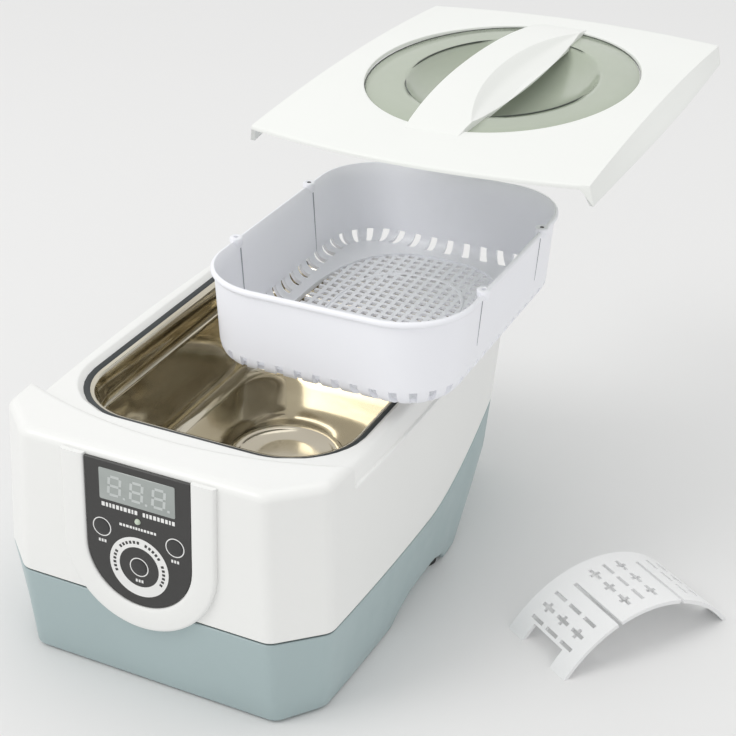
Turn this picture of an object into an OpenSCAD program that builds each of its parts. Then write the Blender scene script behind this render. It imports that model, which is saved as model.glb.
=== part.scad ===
// Bench-top ultrasonic cleaner for jewellery, laid out with its lid and basket lifted
// off to one side and the watch rack lying on the table beside it.
// X is to the right seen from the control panel, Y is to the rear, Z is up.
// The origin is under the middle of the housing, on the surface it stands on.

/* [Housing] */
// Width of the housing at its widest
housing_w = 180; // [176:1:184]
// Length from the panel to the rear wall
housing_l = 262; // [258:1:268]
// Height of the ledge round the tank that carries the lid
ledge_z = 118; // [116:1:120]
// Height of the raised console at the front
console_z = 125; // [124:1:127]
// Height of the joint between the two shells at the front
parting_z = 49; // [46:1:52]
// Thickness of the moulded walls
wall = 2.5; // [2:0.1:3]

/* [Tank] */
// Inside width of the tank at its rim
tank_w = 138; // [134:1:140]
// Inside length of the tank at its rim
tank_l = 186; // [180:1:188]
// Inside height of the tank
tank_deep = 63; // [58:1:64]
// Corner radius of the tank rim
tank_r = 34; // [30:1:38]
// Distance from the middle of the housing back to the middle of the tank
tank_y = 10; // [9:1:11]

/* [Control panel] */
// Width of the dark label
label_w = 54.5; // [50:0.5:58]
// Height of the centre of the label's round end
label_z = 77.5; // [76:0.5:79]
// Width of the raised surround
bezel_w = 79; // [76:1:82]
// Travel of the push buttons
press = 0.6; // [0.4:0.1:0.8]

/* [Basket] */
// Width of the basket at its rim
basket_w = 131; // [128:1:132]
// Length of the basket at its rim
basket_l = 177; // [174:1:178]
// Height of the basket
basket_h = 45; // [42:1:47]
// Corner radius of the basket rim
basket_r = 36; // [32:1:40]
// Pitch of the holes in the basket floor
grid_pitch = 8; // [7:0.5:9]
// Where the middle of the lifted basket hovers, to the right
basket_x = 46; // [40:1:50]
// Where the middle of the lifted basket hovers, to the rear
basket_y = 35; // [30:1:40]
// Height of the underside of the lifted basket
basket_z = 132.5; // [131:0.5:136]

/* [Lid] */
// Width of the lid between its flared skirts
lid_w = 162; // [158:1:164]
// Length of the lid at its corners
lid_l = 219; // [214:1:222]
// How far the front edge bows forward
lid_bow = 14; // [12:1:16]
// Thickness of the lid's skin
lid_skin = 2.2; // [2:0.1:2.6]
// Width of the oval window
window_w = 130; // [126:1:134]
// Length of the oval window
window_l = 173; // [168:1:176]
// Where the middle of the lifted lid hovers, to the right
lid_x = 75; // [70:1:80]
// Where the middle of the lifted lid hovers, to the rear
lid_y = 100; // [95:1:105]
// Height of the lifted lid's edge
lid_z = 239; // [236:1:242]

/* [Watch rack] */
// Length of the rack from foot to foot
rack_l = 100; // [96:1:104]
// Width of the rack
rack_w = 46; // [44:1:50]
// Height of the top of its arch
rack_h = 26; // [23:1:28]
// Where the middle of the rack lies, to the right
rack_x = 183; // [180:1:188]
// Where the middle of the rack lies, to the rear
rack_y = 17; // [12:1:22]
// Turn of the rack on the table
rack_turn = 55; // [52:1:58]

/* [Hidden] */
$fn = 48;

white = "#f5f7f5";
grey_green = "#a9bdb7";
steel = "#c9c8c0";
eps = 0.01;

// ---------- shared shapes ----------

// A closed skin through rings of points that all have the same number of points,
// listed anticlockwise from above and from the bottom up.
module loft(rings) {
    n = len(rings[0]);
    top = (len(rings) - 1) * n;
    sides = [for (k = [0:len(rings) - 2], i = [0:n - 1]) each [
        [k*n + i, (k + 1)*n + i, (k + 1)*n + (i + 1)%n],
        [k*n + i, (k + 1)*n + (i + 1)%n, k*n + (i + 1)%n]]];
    bottom_cap = [[for (i = [0:n - 1]) i]];
    top_cap = [[for (i = [n - 1:-1:0]) top + i]];
    polyhedron([for (ring = rings) each ring], concat(bottom_cap, sides, top_cap));
}

// A rounded rectangle of half sizes hx and hy at height z, as a ring of points.
function round_ring(hx, hy, r, z, steps = 8) = [
    for (quarter = [0:3], i = [0:steps])
        let (turn = quarter*90 + i*90/steps - 90,
             cx = (quarter == 0 || quarter == 1 ? 1 : -1)*(hx - r),
             cy = (quarter == 1 || quarter == 2 ? 1 : -1)*(hy - r))
        [cx + r*cos(turn), cy + r*sin(turn), z]];

function ellipse_points(a, b, steps = 72) =
    [for (i = [0:steps - 1]) [a*cos(i*360/steps), b*sin(i*360/steps)]];

module screw(head_r, head_h, shank_r, length) {
    cylinder(r = head_r, h = head_h);
    translate([0, 0, head_h - eps]) cylinder(r = shank_r, h = length + eps);
}

// ---------- housing outline ----------

front_y = -housing_l/2;
rear_y = housing_l/2;
chamfer_depth = 20;
front_half = 65;
side_bulge = 3;
taper_power = 1.2;

function lower_in(z) = 0.12*max(parting_z - z, 0);
function upper_in(z) = 0.04*max(z - parting_z, 0);
function face_y(z) = front_y + lower_in(z)*0.9 + upper_in(z);
function side_x(y, z) =
    housing_w/2 - lower_in(z) - upper_in(z) - side_bulge*pow(y/100, 2);
function taper_y(z) = 40 + 0.52*z;
function rear_half(z) = 54 + 0.15*z;

// Right-hand side of the outline from the front panel to the rear wall.
function half_outline(z, inset) =
    let (chamfer_y = face_y(z) + chamfer_depth,
         start = taper_y(z),
         last = rear_y - 6)
    concat(
        [[front_half - upper_in(z) - inset*0.4, face_y(z) + inset]],
        [for (i = [0:6])
            let (y = chamfer_y + (start - chamfer_y)*i/6)
            [side_x(y, z) - inset, y + (i == 0 ? inset*0.4 : 0)]],
        [for (i = [1:5])
            let (t = i/5, side = side_x(start, z))
            [side - (side - rear_half(z))*pow(t, taper_power) - inset,
             start + (last - start)*t - inset*t]],
        [[rear_half(z) - 6 - inset*0.5, rear_y - inset]]);

function housing_ring(z, inset = 0, height = undef) =
    let (half = half_outline(z, inset),
         n = len(half),
         h = is_undef(height) ? z : height)
    concat([for (p = half) [p.x, p.y, h]],
           [for (i = [n - 1:-1:0]) [-half[i].x, half[i].y, h]]);

// Height of the joint between the shells: level at the front, sweeping up to the rear.
parting_flat_y = -5;
parting_stop_y = 80;
function parting_at(y) =
    parting_z + 0.0324*pow(max(min(y, parting_stop_y) - parting_flat_y, 0), 1.5);

// Everything above (or below) the joint, as a block across the whole width.
module parting_side(above, gap = 0) {
    line = [for (y = [-150, for (i = [0:10]) parting_flat_y + i*8.5, 150])
        [y, parting_at(y) + gap]];
    far = above ? 140 : -10;
    rotate([90, 0, 90])
        translate([0, 0, -100])
            linear_extrude(200)
                polygon(concat(line, [[150, far], [-150, far]]));
}

// ---------- upper housing ----------

shoulder_z = ledge_z - 6;
shoulder_in = 5;
step_r = 218;
step_y = -104;
lip_z = ledge_z - wall;
opening_hx = tank_w/2 + 4.5;
opening_hy = tank_l/2 + 4.5;
bevel = 2.5;
post_r = 4;
post_places = [[73, -88], [-73, -88], [54, 114], [-54, 114]];
screw_r = 1.9;
panel_tilt = -atan(0.04);

// Moves into the frame of the front wall: y = 0 is its outer face, z is height.
module on_panel(x = 0, z = parting_z) {
    translate([0, front_y, parting_z])
        rotate([panel_tilt, 0, 0])
            translate([x, 0, z - parting_z])
                children();
}

// A cylinder along the panel's normal, from y0 to y1 inwards.
module panel_rod(r, y0, y1) {
    translate([0, y0, 0]) rotate([-90, 0, 0]) cylinder(r = r, h = y1 - y0);
}

// The part of the plan in front of the bowed step, as a block.
module before_step(setback, z0, z1) {
    difference() {
        translate([-100, -150, z0]) cube([200, 80, z1 - z0]);
        translate([0, step_y + step_r - setback, z0 - 1])
            cylinder(r = step_r, h = z1 - z0 + 2, $fn = 128);
    }
}

module housing_outer() {
    loft([housing_ring(30), housing_ring(parting_z), housing_ring(80),
          housing_ring(shoulder_z), housing_ring(ledge_z, shoulder_in, ledge_z)]);
    intersection() {
        loft([housing_ring(90), housing_ring(console_z - 3),
              housing_ring(console_z, 2.5, console_z)]);
        before_step(0, 91, console_z + 1);
    }
}

module housing_inner() {
    difference() {
        loft([housing_ring(20, wall), housing_ring(parting_z, wall), housing_ring(80, wall),
              housing_ring(shoulder_z - 2, wall),
              housing_ring(lip_z, shoulder_in + wall, lip_z)]);
        for (p = post_places)
            translate([p.x, p.y, 0]) cylinder(r = post_r, h = console_z);
    }
    intersection() {
        loft([housing_ring(90, wall), housing_ring(console_z - 5, wall),
              housing_ring(console_z - wall, 4.5, console_z - wall)]);
        before_step(wall, 100, console_z);
    }
}

module tank_opening() {
    translate([0, tank_y, 0])
        loft([round_ring(opening_hx, opening_hy, tank_r + 4, lip_z - 2),
              round_ring(opening_hx, opening_hy, tank_r + 4, lip_z),
              round_ring(opening_hx + bevel, opening_hy + bevel, tank_r + 6.5,
                         ledge_z + 0.2)]);
}

button_r = 3.9;
button_hole_r = button_r + 0.35;
small_button_x = 19;
small_button_z = 87;
big_button_z = 71;
led_z = 95;
window_z = 110;
screen_w = 39;
screen_h = 16;
button_places = [[-small_button_x, small_button_z], [small_button_x, small_button_z],
                 [0, big_button_z]];

module panel_holes(y0, y1, screen_gap, led_r) {
    for (p = button_places)
        on_panel(p.x, p.y) panel_rod(button_hole_r, y0, y1);
    on_panel(0, led_z) panel_rod(led_r, y0, y1);
    on_panel(0, window_z)
        translate([-screen_w/2 - screen_gap, y0, -screen_h/2 - screen_gap])
            cube([screen_w + 2*screen_gap, y1 - y0, screen_h + 2*screen_gap]);
}

module upper_housing() color(white) difference() {
    housing_outer();
    housing_inner();
    parting_side(false);
    tank_opening();
    panel_holes(-5, 6, -0.8, 1.8);
    for (p = post_places)
        translate([p.x, p.y, 20]) cylinder(r = screw_r + 0.05, h = parting_at(p.y) - 6);
}

// ---------- lower shell ----------

rim_z = 1;
floor_z = 2;
floor_t = 2.5;
pad_r = 20;
arch_top = 11;
arch_front = -36;
arch_rear = 28;
arch_in = 6;
foot_places = [[62, -98], [74, 24], [50, 98]];
foot_r = 7;
board_z = 20;
board_places = [[44, -106], [-44, -106], [44, -58], [-44, -58]];
inlet_z = 32;
inlet_w = 24;
inlet_h = 16;
screw_head_r = 3.4;

// Side view of the arched gap between the front and rear feet.
module arch(depth, top) {
    points = [[arch_front, -1], [arch_front, 2], [arch_front + 6, top*0.6],
              [arch_front + 18, top], [arch_rear - 18, top],
              [arch_rear - 6, top*0.6], [arch_rear, 2], [arch_rear, -1]];
    for (side = [-1, 1])
        translate([side > 0 ? housing_w/2 - 6 - depth : -housing_w/2 - 6, 0, 0])
            rotate([90, 0, 90]) linear_extrude(depth + 12) polygon(points);
}

module lower_shell() color(grey_green) difference() {
    union() {
        difference() {
            loft([housing_ring(rim_z), housing_ring(8), housing_ring(30),
                  housing_ring(parting_z), housing_ring(100)]);
            loft([housing_ring(8, 16, floor_z + floor_t), housing_ring(12, 9),
                  housing_ring(20, wall), housing_ring(parting_z, wall),
                  housing_ring(102, wall)]);
            loft([housing_ring(0, 5), housing_ring(floor_z, 5)]);
            parting_side(true, -0.3);
        }
        for (side = [-1, 1], p = foot_places)
            translate([side*p.x, p.y, rim_z]) cylinder(r = foot_r + 2, h = floor_z);
        for (p = post_places)
            translate([p.x, p.y, rim_z]) cylinder(r = 5.2, h = parting_at(p.y) - rim_z - 0.3);
        for (p = board_places)
            translate([p.x, p.y, floor_z]) cylinder(r = 4, h = board_z - floor_z);
        translate([0, 0, rim_z]) cylinder(r = pad_r, h = floor_t);
    }
    arch(arch_in, arch_top);
    for (side = [-1, 1], p = foot_places)
        translate([side*p.x, p.y, 0]) cylinder(r = foot_r + 0.1, h = 2.6);
    for (p = post_places) {
        translate([p.x, p.y, 0]) cylinder(r = screw_head_r + 0.4, h = parting_at(p.y) - 6);
        translate([p.x, p.y, 0]) cylinder(r = screw_r + 0.3, h = 110);
    }
    for (p = board_places)
        translate([p.x, p.y, floor_z + floor_t]) cylinder(r = 1.45, h = board_z);
    translate([-inlet_w/2, rear_y - 20, inlet_z - inlet_h/2]) cube([inlet_w, 30, inlet_h]);
}

module rubber_feet() color("#2b2b2b")
    for (side = [-1, 1], p = foot_places)
        translate([side*p.x, p.y, 0]) cylinder(r = foot_r, h = 2.5);

module housing_screws() color("#8d9092")
    for (p = post_places)
        translate([p.x, p.y, parting_at(p.y) - 8.6])
            screw(screw_head_r, 2.5, screw_r, 16);

// ---------- control panel ----------

bezel_r = bezel_w/2;
label_r = label_w/2;
bezel_top = 122.5;
label_top = 121.5;

// Shape with a flat top and a half-round bottom end, in the panel's own plane.
module tongue(r, top, y0, y1) {
    on_panel(0, label_z) {
        panel_rod(r, y0, y1, $fn = 96);
        translate([-r, y0, 0]) cube([2*r, y1 - y0, top - label_z]);
    }
}

lower_lean = atan(0.9*0.12);
front_slab = [120, 20, 40];

module front_bezel() color(white) difference() {
    union() {
        tongue(bezel_r, bezel_top, -2.6, -0.05, $fn = 96);
        intersection() {
            tongue(bezel_r, label_z, -2.6, 2, $fn = 96);
            translate([-60, front_y - 10, 0]) cube([120, 20, parting_z - 0.5]);
        }
    }
    tongue(label_r + 0.2, bezel_top + 5, -4, 4, $fn = 96);
    translate([0, front_y, parting_z]) rotate([lower_lean, 0, 0])
        translate([-front_slab.x/2, 0, -front_slab.z]) cube(front_slab);
}

module control_label() color("#3f3f3e") difference() {
    tongue(label_r, label_top, -1.6, -0.05, $fn = 96);
    panel_holes(-4, 3, 0.15, 1.6);
}

module display_window() color("#a9aeab")
    on_panel(0, window_z)
        translate([-screen_w/2, -1.9, -screen_h/2]) cube([screen_w, 1.8, screen_h]);

module display_module() color("#2a2c2b") on_panel(0, window_z) difference() {
    translate([-17, 3, -7]) cube([34, 4.9, 14]);
    for (digit = [-1:1])
        translate([digit*11 - 3, 2.5, -4.5]) cube([6, 1, 9]);
}

module indicator_led() color("#d8e6d2") on_panel(0, led_z) {
    panel_rod(1.5, -1.4, 5);
    translate([0, -1.4, 0]) sphere(r = 1.5);
    panel_rod(1.9, 4.9, 6);
}

control_board_y = 8;
module control_board() color("#2f6b45") on_panel(0, 92)
    difference() {
        translate([-31, control_board_y, -30]) cube([62, 1.6, 60]);
        for (x = [-1, 1], z = [-1, 1])
            translate([x*27.5, 0, z*26.5]) panel_rod(1.6, 7, 11);
    }

module tact_switches() color("#35383a")
    for (p = button_places)
        on_panel(p.x, p.y) {
            translate([-3, 5.4, -3]) cube([6, control_board_y - 5.4, 6]);
            panel_rod(1.7, 4.7, 5.5);
        }

module push_button(place) {
    on_panel(place.x, place.y) {
        panel_rod(button_r, -2.2, 2.8);
        panel_rod(button_r + 1.4, 2.75, 3.5);
    }
}

module timer_down_button() color("#55585a") push_button(button_places[0]);
module timer_up_button() color("#55585a") push_button(button_places[1]);
module start_button() color("#55585a") push_button(button_places[2]);

// ---------- tank ----------

tank_t = 1;
flange_z = ledge_z - wall - 1.5 - tank_t;
tank_floor = flange_z + tank_t - tank_deep;

function tank_rings(out, floor_drop, top) = [
    round_ring(tank_w/2 - 13 + out, tank_l/2 - 13 + out, tank_r - 10 + out,
               tank_floor - floor_drop),
    round_ring(tank_w/2 - 8 + out, tank_l/2 - 8 + out, tank_r - 6 + out,
               tank_floor + 1.6 - floor_drop*0.8),
    round_ring(tank_w/2 - 4.5 + out, tank_l/2 - 4.5 + out, tank_r - 3 + out,
               tank_floor + 6 - floor_drop*0.4),
    round_ring(tank_w/2 - 3 + out, tank_l/2 - 3 + out, tank_r - 2 + out,
               tank_floor + 13),
    round_ring(tank_w/2 + out, tank_l/2 + out, tank_r + out, top)];

module tank() color(steel) translate([0, tank_y, 0]) difference() {
    union() {
        loft(tank_rings(tank_t, tank_t, flange_z + 0.5));
        loft([round_ring(tank_w/2 + 9.5, tank_l/2 + 9.5, tank_r + 9.5, flange_z),
              round_ring(tank_w/2 + 9.5, tank_l/2 + 9.5, tank_r + 9.5,
                         flange_z + tank_t)]);
    }
    loft(tank_rings(0, 0, flange_z + tank_t + eps));
}

module tank_seal() color("#3a4042") translate([0, tank_y, 0]) difference() {
    loft([round_ring(tank_w/2 + 7.5, tank_l/2 + 7.5, tank_r + 7.5, flange_z + tank_t),
          round_ring(tank_w/2 + 7.5, tank_l/2 + 7.5, tank_r + 7.5, lip_z)]);
    loft([round_ring(tank_w/2 + 1.4, tank_l/2 + 1.4, tank_r + 1.4, flange_z),
          round_ring(tank_w/2 + 1.4, tank_l/2 + 1.4, tank_r + 1.4, lip_z + 1)]);
}

clamp_places = [[76.5, 52, 0], [-76.5, 52, 180], [76.5, -42, 0], [-76.5, -42, 180]];

// Short brackets under the flange that press it up against the seal.
module tank_clamps() color("#b4b6b6")
    for (p = clamp_places)
        translate([p.x, p.y, 0]) rotate([0, 0, p.z]) difference() {
            translate([-3, -7, flange_z - 1.5]) cube([7, 14, 1.5]);
            translate([2, 0, flange_z - 3]) cylinder(r = 1.2, h = 6);
        }

module clamp_screws() color("#8d9092")
    for (p = clamp_places)
        translate([p.x, p.y, 0]) rotate([0, 0, p.z])
            translate([2, 0, flange_z - 3]) screw(2.2, 1.5, 1.15, 1.5);

// ---------- transducer ----------

horn_r = 21;
ring_r = 19;
ring_bore = 7.5;
horn_z = tank_floor - tank_t;
front_mass_h = 13;
ring_h = 5;
plate_h = 0.4;
back_mass_h = 12;
stack_z = horn_z - front_mass_h;

module at_stack(drop) translate([0, tank_y, stack_z - drop]) children();

module transducer_front_mass() color("#b9bcc0") difference() {
    translate([0, tank_y, stack_z])
        cylinder(r1 = ring_r + 0.5, r2 = horn_r, h = front_mass_h);
    translate([0, tank_y, stack_z - 1]) cylinder(r = 4, h = 9);
}

module piezo_rings() color("#6a5f4e")
    for (i = [0:1])
        at_stack((i + 1)*ring_h + i*plate_h) difference() {
            cylinder(r = ring_r, h = ring_h);
            translate([0, 0, -1]) cylinder(r = ring_bore, h = ring_h + 2);
        }

module electrodes() color("#c58a4a")
    for (i = [0:1])
        at_stack((i + 1)*(ring_h + plate_h)) difference() {
            union() {
                cylinder(r = ring_r, h = plate_h);
                rotate([0, 0, 40*i]) translate([ring_r - 2, -2.5, 0])
                    cube([9, 5, plate_h]);
            }
            translate([0, 0, -1]) cylinder(r = ring_bore, h = 3);
        }

stack_drop = 2*(ring_h + plate_h);
module transducer_back_mass() color("#85888b")
    at_stack(stack_drop + back_mass_h) difference() {
        cylinder(r = ring_r - 0.5, h = back_mass_h);
        translate([0, 0, -1]) cylinder(r = 4.3, h = back_mass_h + 2);
    }

module transducer_bolt() color("#5d6062")
    at_stack(stack_drop + back_mass_h + 4) {
        cylinder(r = 6.5, h = 4, $fn = 6);
        cylinder(r = 3.9, h = 4 + back_mass_h + stack_drop + 7);
    }

// ---------- driver electronics ----------

board_t = 1.6;
parts_z = board_z + board_t;

module driver_board() color("#2f6b45") difference() {
    translate([-50, -112, board_z]) cube([100, 60, board_t]);
    for (p = board_places)
        translate([p.x, p.y, board_z - 1]) cylinder(r = 1.9, h = 4);
}

module board_screws() color("#8d9092")
    for (p = board_places)
        translate([p.x, p.y, parts_z + 2]) mirror([0, 0, 1]) screw(3, 2, 1.4, 8);

module inductor() color("#8a5a3a") translate([-22, -82, parts_z]) difference() {
    rotate_extrude() translate([9, 6.5]) circle(r = 4.5);
    translate([0, 0, -10]) cylinder(r = 3, h = 30);
}

module heat_sink() color("#9a9da0") translate([2, -100, parts_z]) {
    cube([40, 3, 20]);
    for (i = [0:5])
        translate([i*7.5, 2.95, 0]) cube([2, 7, 20]);
}

module power_transistors() color("#26282a")
    for (i = [0:1])
        translate([8 + i*18, -104.6, parts_z]) {
            translate([0, 0, 4]) cube([10, 4.5, 12]);
            for (leg = [-1:1]) translate([4.5 + leg*2.5, 1.8, 0]) cube([0.9, 0.6, 4.05]);
        }

module film_capacitors() color("#a9442f")
    for (i = [0:2])
        translate([6 + i*12, -76, parts_z]) cube([7, 16, 13]);

module fuse() color("#d9d6c8") translate([-44, -66, parts_z + 3.4]) {
    rotate([0, 90, 0]) cylinder(r = 2.6, h = 20);
    for (x = [0, 15]) translate([x, -2, -3.4]) cube([5, 4, 2]);
}

// ---------- power inlet and wiring ----------

module inlet_outline(grow) {
    for (side = [-1, 1]) translate([side*pin_x, 0]) circle(r = 4 + grow);
    square([2*pin_x, 8 + 2*grow], center = true);
}

pin_x = 4.2;
pin_r = 1.2;
module power_inlet() color("#242628")
    translate([0, rear_y, inlet_z]) rotate([90, 0, 0]) difference() {
        union() {
            translate([-15, -10.5, -2]) cube([30, 21, 2]);
            translate([-11.8, -7.8, -2]) cube([23.6, 15.6, 20]);
        }
        translate([0, 0, -3]) linear_extrude(15) inlet_outline(0);
        for (side = [-1, 1])
            translate([side*pin_x, 0, 0]) cylinder(r = pin_r + 0.05, h = 30);
    }

module inlet_pins() color("#c9b26a")
    translate([0, rear_y, inlet_z]) rotate([90, 0, 0])
        for (side = [-1, 1])
            translate([side*pin_x, 0, 2]) cylinder(r = pin_r, h = 22);

// A round wire swept along points, with square turns softened by more points.
function wire_ring(points, i, r, sides) =
    let (before = points[max(i - 1, 0)],
         after = points[min(i + 1, len(points) - 1)],
         along = (after - before)/norm(after - before),
         across = cross(along, abs(along.z) > 0.9 ? [1, 0, 0] : [0, 0, 1]),
         u = across/norm(across),
         v = cross(along, u))
    [for (k = [0:sides - 1])
        points[i] + r*(cos(k*360/sides)*u + sin(k*360/sides)*v)];

function eased(a, b, c, t) = a*(1 - t)*(1 - t) + b*2*t*(1 - t) + c*t*t;

// One lead that leaves a, bends past b and ends at c.
module lead(a, b, c, r = 1.1) {
    points = [for (i = [0:10]) eased(a, b, c, i/10)];
    n = 8;
    rings = [for (i = [0:10]) wire_ring(points, i, r, n)];
    sides = [for (k = [0:9], i = [0:n - 1]) each [
        [k*n + i, k*n + (i + 1)%n, (k + 1)*n + (i + 1)%n],
        [k*n + i, (k + 1)*n + (i + 1)%n, (k + 1)*n + i]]];
    polyhedron([for (ring = rings) each ring],
               concat([[for (i = [n - 1:-1:0]) i]], sides,
                      [[for (i = [0:n - 1]) 10*n + i]]));
}

module inner_leads() color("#b5533c") {
    for (side = [-1, 1]) {
        lead([side*pin_x, rear_y - 25.2, inlet_z], [side*pin_x - 58, 60, 26],
             [-40 + side*2, -54, parts_z + 1.2]);
        lead([side*3, -112.5, parts_z + 1.2], [side*3, -118, 34],
             [side*3, front_y + 11.8, 63]);
    }
    lead([21, -54.5, parts_z + 1.2], [28, -20, 27], [27.6, tank_y - 0.5, stack_z - 5.2]);
    lead([27, -54.5, parts_z + 1.2], [52, -5, 22], [21.6, tank_y + 17.6, stack_z - 10.6]);
}

// ---------- basket ----------

basket_t = 2;
bead = 1.5;
slot_h = 4.5;
tab_places = [[1, -40], [1, 38], [-1, -40], [-1, 38]];

function basket_rings(out, floor_z, top) = [
    round_ring(basket_w/2 - 8.5 + out, basket_l/2 - 8.5 + out, basket_r - 7 + out,
               floor_z, 6),
    round_ring(basket_w/2 - 4.5 + out, basket_l/2 - 4.5 + out, basket_r - 4 + out,
               floor_z + 3.5, 6),
    round_ring(basket_w/2 - bead + out, basket_l/2 - bead + out, basket_r - 1 + out,
               top, 6)];

// Slots along one straight run, cut through the wall at the bottom edge.
module slot_run(count, pitch, reach) {
    for (i = [0:count - 1])
        translate([(i - (count - 1)/2)*pitch - 2.5, -reach, -1])
            cube([5, 12, slot_h + 1]);
}

module basket() color("#e9edf5") translate([basket_x, basket_y, basket_z]) difference() {
    union() {
        difference() {
            loft(basket_rings(0, 0, basket_h));
            loft(basket_rings(-basket_t, basket_t, basket_h + 1));
        }
        difference() {
            loft([round_ring(basket_w/2, basket_l/2, basket_r, basket_h - 2.6, 6),
                  round_ring(basket_w/2, basket_l/2, basket_r, basket_h, 6)]);
            loft([round_ring(basket_w/2 - 3, basket_l/2 - 3, basket_r - 3,
                             basket_h - 4, 6),
                  round_ring(basket_w/2 - 3, basket_l/2 - 3, basket_r - 3,
                             basket_h + 1, 6)]);
        }
        for (p = tab_places)
            translate([p.x*(basket_w/2 - 1.5), p.y, basket_h - 5]) {
                translate([p.x > 0 ? -1 : -5, -3, 0]) cube([6, 6, 4]);
                cylinder(r = 3.4, h = 6.5);
            }
    }
    for (p = tab_places)
        translate([p.x*(basket_w/2 - 1.5), p.y, basket_h]) cylinder(r = 1.1, h = 3);
    for (turn = [0, 180]) {
        rotate([0, 0, turn]) slot_run(8, 10, basket_l/2);
        rotate([0, 0, turn + 90]) slot_run(12, 10, basket_w/2);
    }
    intersection() {
        for (i = [-6:6], j = [-9:9])
            translate([i*grid_pitch - 2.2, j*grid_pitch - 2.2, -1]) cube([4.4, 4.4, 5]);
        translate([0, 0, -2])
            linear_extrude(8) polygon(ellipse_points(basket_w/2 - 12, basket_l/2 - 12, 48));
    }
}

// ---------- lid ----------

skirt_out = 7;
skirt_drop = 8.5;
lid_crown = 4;
dish_deep = 11;
bar_top = 9;

function edge_front(x) = -lid_l/2 - lid_bow*(1 - pow(x/(lid_w/2), 2));
function edge_rear(x) = lid_l/2 + 6*(1 - pow(x/(lid_w/2), 2));
// u runs across the lid, with its last step at each side on the flared skirt.
function lid_point(u, v, down) =
    let (flat_u = max(min(u, 1), -1),
         x = flat_u*lid_w/2,
         past = abs(u) - abs(flat_u),
         y0 = edge_front(x)*(1 - v) + edge_rear(x)*v,
         skirt = skirt_out*past*(0.35 + 0.65*sin(180*v)))
    [x + (u > 0 ? 1 : -1)*skirt, y0,
     lid_crown*(1 - pow(2*v - 1, 2)) + 1.5*(1 - flat_u*flat_u) - skirt_drop*past - down];

across = [-2, for (i = [-6:6]) i/6, 2];
along_steps = 12;

// Closed sheet between the top and the underside of the lid's skin.
module lid_sheet() {
    m = len(across);
    n = along_steps + 1;
    top = [for (j = [0:along_steps], u = across) lid_point(u, j/along_steps, 0)];
    under = [for (j = [0:along_steps], u = across) lid_point(u, j/along_steps, lid_skin)];
    s = m*n;
    top_faces = [for (j = [0:n - 2], i = [0:m - 2]) each [
        [j*m + i, (j + 1)*m + i, (j + 1)*m + i + 1],
        [j*m + i, (j + 1)*m + i + 1, j*m + i + 1]]];
    rim = concat([for (i = [0:m - 1]) i], [for (j = [1:n - 1]) j*m + m - 1],
                 [for (i = [m - 2:-1:0]) (n - 1)*m + i], [for (j = [n - 2:-1:1]) j*m]);
    k = len(rim);
    rim_faces = [for (i = [0:k - 1]) each [
        [rim[i], rim[(i + 1)%k], rim[(i + 1)%k] + s], [rim[i], rim[(i + 1)%k] + s, rim[i] + s]]];
    under_faces = [for (f = top_faces) [f[2] + s, f[1] + s, f[0] + s]];
    polyhedron(concat(top, under), concat(top_faces, under_faces, rim_faces));
}

bar_points = [for (i = [0:12])
    let (t = i/6 - 1) [13 + 5*(1 - t*t), t*(window_l/2 + 6)]];

module at_lid() translate([lid_x, lid_y, lid_z]) children();

module handle_bar() {
    outline = concat(bar_points, [for (i = [12:-1:0]) [-bar_points[i].x + 2, bar_points[i].y]]);
    reach = window_l/2 + 6;
    side = [for (i = [0:12])
        let (t = i/6 - 1) [t*reach, lid_crown + 1.4 + (bar_top - 3)*(1 - pow(abs(t), 3))]];
    underside = [for (i = [12:-1:0]) let (t = i/6 - 1) [t*reach, 2.4 - 2.6*t*t + 2]];
    intersection() {
        translate([0, 0, -5]) linear_extrude(30) polygon(outline);
        translate([-40, 0, 0]) rotate([90, 0, 90]) linear_extrude(80)
            polygon(concat(side, underside));
    }
}

module lid_cover() color(white) at_lid() union() {
    difference() {
        lid_sheet();
        translate([0, 3, -20])
            linear_extrude(50) polygon(ellipse_points(window_w/2, window_l/2, 48));
    }
    translate([0, 3, 0]) handle_bar();
}

window_t = 1.8;
pane_z = -1.2;
function dish_ring(a, b, z) = [for (p = ellipse_points(a, b, 48)) [p.x, p.y, z]];

// Oval pane that closes the window from below, with a dish for the fingers.
module lid_window() color("#b9c3b0", 0.7) at_lid() translate([0, 3, 0]) difference() {
    union() {
        loft([dish_ring(window_w/2 - 0.4, window_l/2 - 0.4, pane_z),
              dish_ring(window_w/2 - 0.4, window_l/2 - 0.4, pane_z + window_t)]);
        loft([dish_ring(34, 52, -dish_deep - window_t), dish_ring(46, 63, pane_z)]);
    }
    loft([dish_ring(33, 51, -dish_deep), dish_ring(45, 62, pane_z + window_t + eps)]);
}

// Four tongues under the skin that hold the pane.
module window_clips() color(white) at_lid() translate([0, 3, 0])
    for (x = [-1, 1], y = [-1, 1])
        translate([x*40, y*(window_l/2*sqrt(1 - pow(40/(window_w/2), 2)) + 3) - 5, -3.2])
            translate([-6, 0, 0]) cube([12, 10, 1.9]);

// ---------- watch rack ----------

rack_t = 2;
rack_r = (pow(rack_l/2, 2) + pow(rack_h, 2))/(2*rack_h);
rack_angle = asin((rack_l/2)/rack_r);

module rack_cut(angle, y, w, l) {
    translate([0, 0, rack_h - rack_r]) rotate([0, angle, 0])
        translate([-w/2, y - l/2, rack_r - 6]) cube([w, l, 12]);
}

// Three rows of slots across a third of the arch; some slots are crossed by a bar.
rack_pitch = 7.6;
module rack_section(angle, middle) {
    for (row = [-1:1]) {
        y = row*11.6;
        for (step = [-1:1]) {
            crossed = (middle ? step != 0 : step == 0);
            rack_cut(angle + step*rack_pitch, y, 2, 8.6);
            if (crossed) rack_cut(angle + step*rack_pitch, y, 5.4, 2);
        }
    }
}

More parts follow.
